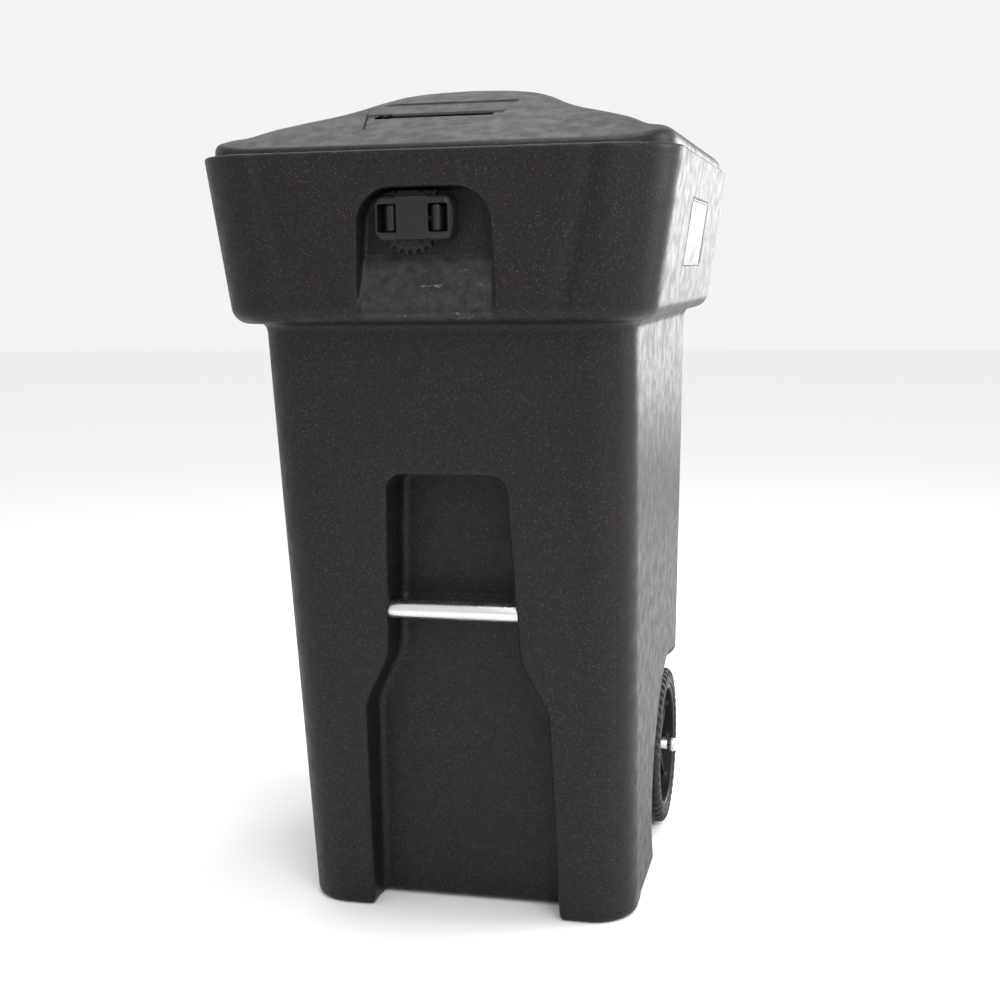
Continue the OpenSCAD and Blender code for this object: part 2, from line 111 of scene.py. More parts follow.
def round_cut(a, b, r):
    """Keeps what is inside both a and b, with their shared edge rounded to r."""
    u, v = a + r, b + r
    return np.minimum(np.maximum(u, v), 0) + np.hypot(np.maximum(u, 0), np.maximum(v, 0)) - r


def round_join(a, b, r):
    """Joins a and b with a fillet of radius r between them."""
    return -round_cut(-a, -b, r)


def plan(x, y, half, front, back, r):
    """Rectangle with round corners, seen from above."""
    qx = np.abs(x) - (half - r)
    qy = np.abs(y - (back - front) / 2) - ((back + front) / 2 - r)
    return np.hypot(np.maximum(qx, 0), np.maximum(qy, 0)) + np.minimum(np.maximum(qx, qy), 0) - r


def span(v, low, high):
    """Slab between low and high."""
    return np.maximum(low - v, v - high)


def soft_profile(points, z, blur):
    """Line through points, with its corners eased over blur."""
    zs, values = zip(*points)
    offsets = np.linspace(-blur, blur, 9)
    return sum(np.interp(z + d, zs, values) for d in offsets) / len(offsets)


def spaced(*stretches):
    """Grid lines from stretches of (start, end, step)."""
    lines = [np.linspace(a, b, int(round((b - a) / step)) + 1)[:-1] for a, b, step in stretches]
    return np.concatenate(lines + [[stretches[-1][1]]])


def settle(field, points, rounds=4, reach=1.2):
    """Moves points, each by up to reach a round, on to the surface where the field is zero."""
    step = 0.15
    for _ in range(rounds):
        here = field(*points.T)
        slope = np.stack([field(*(points + shift).T) - field(*(points - shift).T)
                          for shift in np.eye(3) * step], 1) / (2 * step)
        size = np.maximum((slope ** 2).sum(1), 0.2)
        move = -here[:, None] * slope / size[:, None]
        length = np.maximum(np.linalg.norm(move, axis=1), 1e-9)
        points = points + move * np.minimum(1, reach / length)[:, None]
    return points


def mesh_of(name, field, xs, ys, zs):
    """Quad mesh of the surface where field(x, y, z) is zero, on a grid of lines xs, ys, zs."""
    f = np.empty((len(xs), len(ys), len(zs)), np.float32)
    y, z = ys.astype(np.float32)[None, :, None], zs.astype(np.float32)[None, None, :]
    for start in range(0, len(xs), 8):
        f[start:start + 8] = field(xs[start:start + 8].astype(np.float32)[:, None, None], y, z)
    inside = f < 0
    count = np.zeros(tuple(n - 1 for n in f.shape), np.int8)
    for i in (0, 1):
        for j in (0, 1):
            for k in (0, 1):
                count += inside[i:f.shape[0] - 1 + i, j:f.shape[1] - 1 + j, k:f.shape[2] - 1 + k]
    cells = np.argwhere((count > 0) & (count < 8))
    number = np.full(count.shape, -1, np.int32)
    number[tuple(cells.T)] = np.arange(len(cells))
    total, hits = np.zeros((len(cells), 3)), np.zeros(len(cells))
    lines = (xs, ys, zs)
    for axis in range(3):
        others = [a for a in range(3) if a != axis]
        for u in (0, 1):
            for v in (0, 1):
                start = cells.copy()
                start[:, others[0]] += u
                start[:, others[1]] += v
                end = start.copy()
                end[:, axis] += 1
                fa, fb = f[tuple(start.T)], f[tuple(end.T)]
                crossed = (fa < 0) != (fb < 0)
                t = np.where(crossed, fa / np.where(crossed, fa - fb, 1), 0)
                point = np.stack([lines[a][start[:, a]] for a in range(3)], 1).astype(float)
                point[:, axis] += t * (lines[axis][end[:, axis]] - lines[axis][start[:, axis]])
                total[crossed] += point[crossed]
                hits[crossed] += 1
    points = settle(field, total / hits[:, None]) * MM
    quads = []
    for axis in range(3):
        low = [slice(1, -1)] * 3
        low[axis] = slice(None, -1)
        high = list(low)
        high[axis] = slice(1, None)
        edges = np.argwhere(inside[tuple(low)] != inside[tuple(high)])
        for a in range(3):
            edges[:, a] += 1 if a != axis else 0
        b, c = (axis + 1) % 3, (axis + 2) % 3
        ring = []
        for db, dc in ((1, 1), (0, 1), (0, 0), (1, 0)):
            cell = edges.copy()
            cell[:, b] -= db
            cell[:, c] -= dc
            ring.append(number[tuple(cell.T)])
        quad = np.stack(ring, 1)
        leaves = inside[tuple(edges.T)]
        quad[~leaves] = quad[~leaves][:, ::-1]
        quads.append(quad)
    return mesh_object(name, points, np.concatenate(quads))


def mesh_object(name, points, faces, smooth=True):
    """Object in the scene from vertices in metres and faces."""
    mesh = bpy.data.meshes.new(name)
    mesh.from_pydata(np.asarray(points).tolist(), [], [list(map(int, face)) for face in faces])
    mesh.validate()
    if smooth:
        mesh.shade_smooth()
    piece = bpy.data.objects.new(name, mesh)
    bpy.context.collection.objects.link(piece)
    return piece


# ---------------------------------------------------------------- the moulded body
def recess_field(x, y, z):
    """Front recess: a narrow window over the lift bar, a wide bay between the feet."""
    half = soft_profile(RECESS_HALF, z, 12)
    outline = round_cut((np.abs(x) - half) * 0.97, z - RECESS_TOP, 20)
    floor = RECESS_FLOOR[0] + RECESS_FLOOR[1] * z + 4 * np.clip((z - 459) / 3, 0, 1)
    return round_cut(outline, y - floor, 11)


def pocket_outline(x, z):
    """Arch of the latch pocket, seen from the front."""
    return round_cut(np.abs(x) - np.interp(z, (816, 970), (92, 86)), z - POCKET_TOP, POCKET_R)


def pocket_field(x, y, z):
    """Latch pocket whose floor ramps out towards the collar's lower edge."""
    outline = pocket_outline(x, z)
    floor = np.interp(z, (858, POCKET_STEP - 9, POCKET_STEP), (-421, POCKET_FLOOR - 6, POCKET_FLOOR))
    return round_cut(outline, y - floor, 5)


def bracket_field(x, y, z):
    """Handle brackets, the hinge bosses at their ends and the round grip between them."""
    across = span(np.abs(x), *BRACKET_X)
    corners = [(340, 972), (HINGE_Y + 13, HINGE_Z - 12), (HINGE_Y - 8, HINGE_Z + 14), (340, 1058)]
    side = -1e3
    for (y0, z0), (y1, z1) in zip(corners, corners[1:] + corners[:1]):
        length = math.hypot(y1 - y0, z1 - z0)
        side = np.maximum(side, ((y - y0) * (z1 - z0) - (z - z0) * (y1 - y0)) / length)
    boss = np.hypot(y - HINGE_Y, z - HINGE_Z) - GRIP_R
    ears = round_cut(round_join(side, boss, 6), across, 4)
    grip = round_cut(boss + 0.6, np.abs(x) - BRACKET_X[0] - 6, 1)
    return round_join(ears, grip, 5)


def body_field(x, y, z):
    """Tub, collar and everything moulded with them, hollowed to BODY_SKIN."""
    t = z / COLLAR_Z0
    tub = plan(x, y, lerp(*TUB_HALF, t), lerp(*TUB_FRONT, t), lerp(*TUB_BACK, t), TUB_R)
    foot = np.clip((np.abs(x) - FOOT_X) / 6, 0, 1) * np.clip((FOOT_BACK - y) / 6, 0, 1)
    tub = round_cut(np.maximum(tub, z - COLLAR_Z0 - 30), FOOT_H * (1 - foot) - z, 9)

    t = (z - COLLAR_Z0) / (COLLAR_Z1 - COLLAR_Z0)
    rim = plan(x, y, lerp(*COLLAR_HALF, t), lerp(*COLLAR_FRONT, t), lerp(*COLLAR_BACK, t), lerp(*COLLAR_R, t))
    crease = np.abs(x) - np.interp(z, *COLLAR_CREASE)
    rim = rim + CREASE_DEPTH * np.exp(-(crease / CREASE_W) ** 2) * np.clip((-300 - y) / 60, 0, 1)
    collar = round_cut(round_cut(rim, COLLAR_Z0 - z, 20), z - COLLAR_Z1, 5)
    outer = round_join(tub, collar, 12)

    outer = round_cut(outer, -recess_field(x, y, z), 7)
    well = round_cut(np.hypot(y - WELL_Y, z - WELL_Z) - WELL_R, WELL_X - np.abs(x), 16)
    outer = round_cut(outer, -well, 12)
    bay = np.maximum(np.abs(x) - BAY_HALF, np.maximum(span(y, BAY_FRONT, BAY_BACK), z - BAY_TOP))
    outer = round_cut(outer, -bay, 3)
    outer = round_cut(outer, -pocket_field(x, y, z), 5)
    panel = np.maximum(span(y, PANEL_LOW[1] - PANEL_GAP, PANEL_HIGH[1] + PANEL_GAP),
                       span(z, PANEL_LOW[2] - PANEL_GAP, PANEL_HIGH[2] + PANEL_GAP))
    behind = PANEL_DEPTH * np.clip(1 - panel / 8, 0, 1) * (np.abs(x) > TUB_HALF[0])
    inside = outer + BODY_SKIN + behind
    outer = round_cut(outer, -np.maximum(panel, np.maximum(-PANEL_DEPTH - rim, TUB_HALF[0] - np.abs(x))), 0.8)

    body = np.maximum(outer, -inside)
    mouth = plan(x, y, COLLAR_HALF[1] - LIP_W, REACH - LIP_W, COLLAR_BACK[1] - LIP_W, COLLAR_R[1] - LIP_W)
    lip = np.maximum(rim, span(z, COLLAR_Z1 - LIP_T, COLLAR_Z1 - 5))
    body = np.minimum(body, lip)
    body = round_cut(body, -np.maximum(mouth, COLLAR_Z1 - LIP_T - 20 - z), 3)

    along_bar = np.hypot(y - BAR_Y, z - BAR_Z)
    socket = np.maximum(along_bar - SOCKET_R, span(np.abs(x), *SOCKET_X))
    body = np.minimum(body, np.maximum(socket, outer))
    body = np.maximum(body, -np.maximum(along_bar - BORE_R, np.abs(x) - BORE_END))
    return round_join(body, bracket_field(x, y, z), 6)


def make_body():
    xs = spaced((-334, -150, 3.2), (-150, 150, 3), (150, 334, 3.2))
    ys = spaced((-437, -180, 3.1), (-180, -70, 6), (-70, 440, 3.2))
    zs = spaced((-5, 300, 3.6), (300, 660, 4), (660, 842, 6), (842, 1068, 2.8), (1068, 1100, 3.5))
    body = mesh_of("moulded_body", body_field, xs, ys, zs)
    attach(body, "cart")
    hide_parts("cart_body")
    return body


# ---------------------------------------------------------------- the lid
LID_Z0 = LID_LOW[2]
LID_HALF = (LID_HIGH[0] - LID_LOW[0]) / 2
LID_FRONT, LID_BACK, LID_R = -LID_LOW[1], 340.0, 72.0
DOME_SIDE = (                            # half-width and height
    (0, 1166), (55, 1162), (90, 1155), (115, 1146), (142, 1133), (165, 1125),
    (205, 1115), (240, 1105), (264, 1093), (290, 1090), (304, 1079), (330, 1056))
DOME_FRONT = (-392.0, 1073.0, 0.405)     # Y, height and slope of the front face
DOME_BACK = (340.0, 1089.0, -0.165)      # the same for the back face
LABEL_X, LABEL_Y = -20.0, (-338.0, -236.0)
ARM_X, ARM_BORE_R = (207.0, 232.0), 9.2
PAD_HALF, PAD_Y = 64.0, (-386.0, -338.0)  # block that the keeper is screwed to


def soft_max(a, b, k):
    """Meets two faces at a shallow angle, eased over k."""
    return np.maximum(a, b) + np.maximum(k - np.abs(a - b), 0) ** 2 / (4 * k)


def slope_field(y, z, face):
    """Distance above a sloping face given as its Y, height and slope."""
    return (z - face[1] - face[2] * (y - face[0])) / math.hypot(1, face[2])


def label_field(x, y, z):
    """Shallow recess on the front slope with a slot and two round pits in it."""
    depth = slope_field(y, z, DOME_FRONT)
    u, v = x - LABEL_X, (y - LABEL_Y[0]) / (LABEL_Y[1] - LABEL_Y[0])
    outline = np.maximum(np.abs(u) - lerp(82, 104, v), span(y, *LABEL_Y))
    along = y - lerp(*LABEL_Y, 0.58)
    slot = np.maximum(np.abs(u) - 78, np.abs(along) - 3.0)
    pits = np.hypot(np.abs(u + 72) - 6, along) - 6
    marks = np.maximum(np.minimum(slot, pits), -7.0 - depth)
    floor = lerp(3.6, 1.6, np.clip((along - 3) / 3, 0, 1))
    return np.minimum(round_cut(outline, -floor - depth, 0.8), marks)


def arm_field(x, y, z):
    """Arm from the lid's back edge to the hinge."""
    side = np.maximum(span(y, 312, HINGE_Y), np.maximum(LID_Z0 + 1.6 - z, z - 1087))
    boss = np.hypot(y - HINGE_Y, z - HINGE_Z) - GRIP_R
    arm = round_cut(round_join(side, boss, 8), span(np.abs(x), *ARM_X), 4)
    return np.maximum(arm, ARM_BORE_R - np.hypot(y - HINGE_Y, z - HINGE_Z))


def lid_field(x, y, z):
    """Domed lid, open underneath, with its keeper pad and hinge arms."""
    side = (z - soft_profile(DOME_SIDE, np.abs(x), 9)) * 0.94
    top = soft_max(side, slope_field(y, z, DOME_FRONT), 22)
    top = soft_max(top, slope_field(y, z, DOME_BACK), 26)
    edge = plan(x, y, LID_HALF, LID_FRONT, LID_BACK, LID_R)
    outer = round_cut(round_cut(edge, top, 8), LID_Z0 - z, 2)
    lid = np.maximum(outer, -(outer + LID_SKIN))
    opening = plan(x, y, LID_HALF - 18, LID_FRONT - 18, LID_BACK - 34, LID_R - 16)
    lid = np.maximum(lid, -np.maximum(opening, z - LID_Z0 - 6))
    pad = np.maximum(span(x, LATCH_X - PAD_HALF, LATCH_X + PAD_HALF), span(y, *PAD_Y))
    lid = np.minimum(lid, np.maximum(np.maximum(pad, LID_Z0 - z), outer))
    lid = round_cut(lid, -label_field(x, y, z), 0.8)
    return round_join(lid, arm_field(x, y, z), 5)


def make_lid():
    xs = spaced((-312, -135, 3.2), (-135, 95, 2), (95, 312, 3.2))
    ys = spaced((-410, -344, 3), (-344, -230, 1.6), (-230, 300, 4), (300, 436, 3))
    zs = spaced((1058, 1072, 2), (1072, 1170, 1.8))
    lid = mesh_of("moulded_lid", lid_field, xs, ys, zs)
    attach(lid, "lid")
    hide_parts("lid")
    return lid


# ---------------------------------------------------------------- the latch
LATCH_FRONT, LATCH_BACK = HOUSING_LOW[1], HOUSING_HIGH[1]
HOUSING_W, HOUSING_H = (HOUSING_HIGH[0] - HOUSING_LOW[0]) / 2, (HOUSING_HIGH[2] - HOUSING_LOW[2]) / 2
BRIDGE_HALF, WINDOW_END, WINDOW_HALF_H = 21.0, 45.5, 17.5
LEVER_X, LEVER_R = 29.5, 7.5
SCALLOPS = 26


def housing_field(x, y, z):
    """Latch cover: bevelled rails, two windows and a flat bridge between them."""
    u, w = x - LATCH_X, z - LATCH_Z
    corner = (np.abs(u) * 0.82 + np.abs(w) * 0.574) - (HOUSING_W * 0.82 + (HOUSING_H - 9) * 0.574)
    outline = round_cut(round_cut(np.abs(u) - HOUSING_W, np.abs(w) - HOUSING_H, 3), corner, 5)
    front = LATCH_FRONT + 1.2 - y
    bevel = (outline + front + 5.5) * 0.7071
    shell = np.maximum(soft_max(outline, bevel, 1.5), soft_max(front, bevel, 1.5))
    shell = np.maximum(shell, y - LATCH_BACK)
    bridge = np.maximum(round_cut(np.abs(u) - BRIDGE_HALF, LATCH_FRONT - y, 1.2), np.abs(w) - HOUSING_H + 1.2)
    shell = np.minimum(shell, np.maximum(bridge, y - LATCH_BACK))
    room = np.maximum(span(np.abs(u), 5, 46), np.maximum(np.abs(w) - 20, LATCH_FRONT + 4 - y))
    window = round_cut(span(np.abs(u), BRIDGE_HALF, WINDOW_END), np.abs(w) - WINDOW_HALF_H, 2.5)
    return round_cut(round_cut(shell, -room, 0.4), -window, 1.2)


def lever_field(side):
    """Finger lever with a round upright face and the foot it slides on."""
    def field(x, y, z):
        u, w = np.abs(x - LATCH_X - side * LEVER_X), z - LATCH_Z
        nose = np.maximum(np.hypot(u, y + 417) - LEVER_R, y + 417)
        knob = np.minimum(nose, np.maximum(u - LEVER_R, span(y, -417, LATCH_BACK - 0.4)))
        knob = round_cut(knob, np.abs(w) - 16.5, 1.8)
        foot = np.maximum(np.maximum(u - 10.5, np.abs(w) - 19), span(y, LATCH_BACK - 4, LATCH_BACK - 0.4))
        stem = np.maximum(np.maximum(u - 4, np.abs(w) - 4.5), span(y, LATCH_BACK - 1, -377))
        return np.minimum(np.minimum(knob, foot), stem)
    return field


def rosette_field(x, y, z):
    """Toothed ring behind the housing, clear of the pocket's sides."""
    u, w = x - ROSETTE_X, z - ROSETTE_Z
    teeth = np.tanh(2.5 * np.cos(SCALLOPS * np.arctan2(w, u)))
    disc = (np.hypot(u, w) - 45.3 - 2.9 * teeth) * 0.8
    step = np.maximum(disc + 7, ROSETTE_LOW[1] - y)
    low = np.maximum(disc, ROSETTE_LOW[1] + 1.5 - y)
    ring = np.maximum(np.minimum(low, step), y - ROSETTE_HIGH[1])
    return np.maximum(ring, pocket_outline(x, z) + 1.6)


def make_latch():
    housing = mesh_of(
        "latch_cover", housing_field, spaced((LATCH_X - 54, LATCH_X + 54, 0.9)),
        spaced((LATCH_FRONT - 1.5, LATCH_BACK + 2, 0.8)), spaced((LATCH_Z - 29.5, LATCH_Z + 29.5, 0.9)))
    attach(housing, "cart")
    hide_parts("latch_housing")
    rosette = mesh_of(
        "latch_ring", rosette_field, spaced((ROSETTE_LOW[0] - 2, ROSETTE_HIGH[0] + 2, 0.9)),
        spaced((ROSETTE_LOW[1] - 1.5, ROSETTE_HIGH[1] + 1.5, 0.7)),
        spaced((ROSETTE_LOW[2] - 2, ROSETTE_HIGH[2] + 2, 0.9)))
    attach(rosette, "cart")
    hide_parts("latch_rosette")
    pieces = [housing, rosette]
    for side, word in ((1, "right"), (-1, "left")):
        middle = LATCH_X + side * LEVER_X
        lever = mesh_of(
            f"finger_lever_{word}", lever_field(side), spaced((middle - 12, middle + 12, 0.75)),
            spaced((-426.5, -375, 0.75)), spaced((LATCH_Z - 20.5, LATCH_Z + 20.5, 0.8)))
        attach(lever, f"lever_{word}")
        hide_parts(f"latch_lever_{word}")
        pieces.append(lever)
    return pieces


# ---------------------------------------------------------------- wheels
TYRE_R = (TYRE_HIGH[2] - TYRE_LOW[2]) / 2
TYRE_X = (TYRE_LOW[0], TYRE_HIGH[0])
RIM_R, HUB_R, AXLE_R = 101.0, 22.0, (AXLE_HIGH[2] - AXLE_LOW[2]) / 2
HUB_X = (188.5, 219.0)
LUGS, SPOKES = 48, 9


def polar(y, z):
    """Distance from the axle and angle about it."""
    return np.hypot(y - AXLE_Y, z - AXLE_Z), np.arctan2(z - AXLE_Z, y - AXLE_Y)


def tyre_field(x, y, z):
    """Solid tyre with lugs on both shoulders and a groove between them."""
    rho, angle = polar(y, z)
    middle = sum(TYRE_X) / 2
    across = np.abs(x - middle) - (TYRE_X[1] - TYRE_X[0]) / 2
    crown = 0.6 * ((x - middle) / 22) ** 2
    tyre = round_cut(round_cut(rho - TYRE_R + crown + 0.2, across + 0.2, 9), RIM_R - rho, 1)
    shoulder = np.clip((np.abs(x - middle) - 7.5) / 1.5, 0, 1)
    groove = np.clip((0.25 - np.cos(LUGS * angle + 0.9 * np.sign(x - middle))) * 2.2, 0, 1)
    centre = np.clip((1.6 - np.abs(x - middle)) / 1.2, 0, 1)
    cut = np.clip((rho - TYRE_R + 14) / 5, 0, 1) * np.maximum(4.2 * shoulder * groove, 3.2 * centre)
    bead = 1.4 * np.exp(-((rho - 109) / 1.6) ** 2)
    return (tyre + cut + bead * (across > -3)) * 0.8


def disc_field(x, y, z):
    """Wheel centre: rim, dished web with a window in each sector, ribs and hub."""
    rho, angle = polar(y, z)
    ring = np.maximum(RIM_R - 7 - rho, rho - RIM_R - 0.5)
    rim = round_cut(ring, span(x, TYRE_X[0] + 1.5, TYRE_X[1] - 2), 2)
    web_x = 210 + 3 * np.cos(np.clip((rho - HUB_R) / (RIM_R - HUB_R), 0, 1) * math.pi)
    web = np.maximum(np.abs(x - web_x) - 3.5, rho - RIM_R + 1)
    sector = 2 * math.pi / SPOKES
    turn = (angle + math.pi / 2) % sector - sector / 2
    across = rho * np.sin(turn)
    hole_half = np.interp(rho, (30, 82), (8, 23))
    hole = round_cut(np.abs(across) - hole_half, span(rho, 35, 87), 6)
    web = round_cut(web, -hole, 2)
    rib_turn = (angle + math.pi / 2 + sector / 2) % sector - sector / 2
    rib = np.maximum(np.abs(rho * np.sin(rib_turn)) - 2.6, np.maximum(rho - RIM_R + 2, span(x, 201, 224)))
    hub = round_cut(rho - HUB_R, span(x, *HUB_X), 2)
    disc = round_join(round_join(web, rib, 3), hub, 4)
    return np.maximum(round_join(disc, rim, 4), AXLE_R + 0.2 - rho)


def make_wheels():
    near = (AXLE_Y - TYRE_R - 3, AXLE_Y + TYRE_R + 3, 1.8)
    up = (AXLE_Z - TYRE_R - 3, AXLE_Z + TYRE_R + 3, 1.8)
    pieces = []
    for name, field, node, slot in (
            ("wheel_tread", tyre_field, "tyre", "tyre"),
            ("wheel_centre", disc_field, "wheel_disc", "wheel_plastic")):
        across = spaced((TYRE_X[0] - 6, TYRE_X[1] + 3, 1.5))
        right = mesh_of(name + "_right", field, across, spaced(near), spaced(up))
        left = right.copy()
        left.data = right.data.copy()
        left.name = name + "_left"
        bpy.context.collection.objects.link(left)
        left.data.transform(Matrix.Diagonal((-1, 1, 1, 1)))
        left.data.flip_normals()
        for piece, word in ((right, "right"), (left, "left")):
            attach(piece, f"wheel_{word}")
            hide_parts(f"{node}_{word}")
            pieces.append(piece)
    return pieces


# ---------------------------------------------------------------- turned metal pieces
def turned(name, node, body, outlines, y, z, segments=72):
    """Replaces a CAD node by solids turned about X; each outline is a list of (x, radius)."""
    points, faces = [], []
    for outline in outlines:
        rings = []
        for x, r in outline:
            if r == 0:
                rings.append([len(points)])
                points.append((x * MM, y * MM, z * MM))
                continue
            rings.append(range(len(points), len(points) + segments))
            for i in range(segments):
                a = 2 * math.pi * i / segments
                points.append((x * MM, (y + r * math.cos(a)) * MM, (z + r * math.sin(a)) * MM))
        rings = [list(ring) for ring in rings]
        for low, high in zip(rings, rings[1:] + rings[:1] if outline[0][1] else rings[1:]):
            for i in range(segments):
                j = (i + 1) % segments
                face = [low[i % len(low)], high[i % len(high)], high[j % len(high)], low[j % len(low)]]
                faces.append(list(dict.fromkeys(face)))
    piece = mesh_object(name, points, [face for face in faces if len(face) > 2])
    bm = bmesh.new()
    bm.from_mesh(piece.data)
    bmesh.ops.recalc_face_normals(bm, faces=bm.faces)
    for edge in bm.edges:
        edge.smooth = edge.calc_face_angle(0) < math.radians(35)
    bm.to_mesh(piece.data)
    bm.free()
    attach(piece, body)
    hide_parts(node)
    return piece


def bar_outline(x0, x1, r, ease=1.0):
    """Solid round bar with eased ends."""
    steps = [(x0, 0), (x0, r - ease), (x0 + ease * 0.3, r - ease * 0.3), (x0 + ease, r)]
    return steps + [(x1 - (x - x0), q) for x, q in reversed(steps)]


def mirrored(outline):
    return [(-x, r) for x, r in outline]


def make_metal():
    low, high = box_mm("catch_bar")
    bar_r = (high[2] - low[2]) / 2
    lift_bar = turned("lift_bar_tube", "catch_bar", "lift_bar",
                      [bar_outline(low[0], high[0], bar_r, 1.5)], BAR_Y, BAR_Z)
    axle = turned("axle_bar", "axle", "cart",
                  [bar_outline(AXLE_LOW[0], AXLE_HIGH[0], AXLE_R)], AXLE_Y, AXLE_Z)
    pieces = [lift_bar, axle]
    cap = [(237, 0), (237, 10.6), (237.8, 11), (246.5, 11), (248.6, 10.2), (250, 8.4), (250.5, 6), (250.5, 0)]
    for word, outline in (("right", cap), ("left", mirrored(cap))):
        pieces.append(turned(f"axle_end_{word}", f"axle_cap_{word}", "cart",
                             [outline], AXLE_Y, AXLE_Z))
    low, high = box_mm("hinge_rod")
    pieces.append(turned("hinge_bar", "hinge_rod", "cart",
                         [bar_outline(low[0], high[0], (high[2] - low[2]) / 2)], HINGE_Y, HINGE_Z))
    low, high = box_mm("hinge_rod_caps")
    button = bar_outline(233.3, high[0], 10, 2.0)
    pieces.append(turned("hinge_bar_caps", "hinge_rod_caps", "cart",
                         [button, mirrored(button)], HINGE_Y, HINGE_Z))
    return pieces


# ---------------------------------------------------------------- side panels
def make_panels():
    """Flat label panels in the collar's sides, with eased corners and a raised border."""
    pieces = []
    for word in ("right", "left"):
        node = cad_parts[f"side_panel_{word}"]
        plate = bpy.data.objects.new(f"label_panel_{word}", node.data.copy())
        plate.data.materials.clear()
        bpy.context.collection.objects.link(plate)
        bm = bmesh.new()
        bm.from_mesh(plate.data)
        bmesh.ops.remove_doubles(bm, verts=bm.verts, dist=0.01 * MM)
        bmesh.ops.dissolve_limit(bm, angle_limit=math.radians(2), verts=bm.verts, edges=bm.edges)
        out = max(bm.faces, key=lambda f: f.normal.x * (1 if word == "right" else -1))
        bmesh.ops.inset_individual(bm, faces=[out], thickness=3 * MM, depth=0)
        bmesh.ops.inset_individual(bm, faces=[out], thickness=0.8 * MM, depth=-0.7 * MM)
        bm.to_mesh(plate.data)
        bm.free()
        bevel = plate.modifiers.new("eased edges", "BEVEL")
        bevel.width = 0.35 * MM
        bevel.segments = 2
        bevel.limit_method = "ANGLE"
        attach(plate, "cart")
        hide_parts(f"side_panel_{word}")
        pieces.append(plate)
    return pieces


# ---------------------------------------------------------------- materials
class Graph:
    """Short calls for building one material's node tree, in object coordinates."""

    def __init__(self, name):
        self.material = bpy.data.materials.new(name)
        self.material.use_nodes = True
        self.nodes = self.material.node_tree.nodes
        self.links = self.material.node_tree.links
        self.shader = self.nodes["Principled BSDF"]
        self.place = self.nodes.new("ShaderNodeTexCoord").outputs["Object"]

    def node(self, kind, inputs, **settings):
        made = self.nodes.new(kind)
        for key, value in settings.items():
            setattr(made, key, value)
        for key, value in inputs.items():
            if isinstance(value, bpy.types.NodeSocket):
                self.links.new(value, made.inputs[key])
            else:
                made.inputs[key].default_value = value
        return made

    def stretched(self, scale):
        return self.node("ShaderNodeMapping", {"Vector": self.place, "Scale": scale}).outputs[0]

    def noise(self, scale, detail=2.0, rough=0.5, place=None):
        return self.node("ShaderNodeTexNoise", {
            "Vector": place or self.place, "Scale": scale, "Detail": detail, "Roughness": rough}).outputs[0]

    def cells(self, scale, output="Distance", jitter=1.0):
        return self.node("ShaderNodeTexVoronoi", {
            "Vector": self.place, "Scale": scale, "Randomness": jitter}).outputs[output]

    def ramp(self, value, low, high, to=(0.0, 1.0), smooth=True):
        made = self.node("ShaderNodeMapRange", {
            "Value": value, "From Min": low, "From Max": high, "To Min": to[0], "To Max": to[1]})
        made.interpolation_type = "SMOOTHSTEP" if smooth else "LINEAR"
        return made.outputs[0]

    def maths(self, operation, a, b=0.0):
        made = self.nodes.new("ShaderNodeMath")
        made.operation = operation
        for socket, value in zip(made.inputs, (a, b)):
            if isinstance(value, bpy.types.NodeSocket):
                self.links.new(value, socket)
            else:
                socket.default_value = value
        return made.outputs[0]

    def mix(self, amount, a, b):
        made = self.nodes.new("ShaderNodeMix")
        made.data_type = "RGBA"
        for index, value in ((0, amount), (6, a), (7, b)):
            if isinstance(value, bpy.types.NodeSocket):
                self.links.new(value, made.inputs[index])
            else:
                made.inputs[index].default_value = value if index == 0 else (*value, 1)
        return made.outputs[2]

    def axis(self, letter):
        parts = self.node("ShaderNodeSeparateXYZ", {"Vector": self.place})
        return parts.outputs["XYZ".index(letter)]

    def finish(self, colour, roughness, height=None, depth=0.1, metallic=0.0, specular=0.5):
        for key, value in (("Base Color", colour), ("Roughness", roughness)):
            if isinstance(value, bpy.types.NodeSocket):
                self.links.new(value, self.shader.inputs[key])
            else:
                self.shader.inputs[key].default_value = value
        self.shader.inputs["Metallic"].default_value = metallic
        self.shader.inputs["Specular IOR Level"].default_value = specular
        if height is not None:
            bump = self.node("ShaderNodeBump", {"Height": height, "Distance": depth * MM, "Strength": 1.0})
            self.links.new(bump.outputs[0], self.shader.inputs["Normal"])
        return self.material


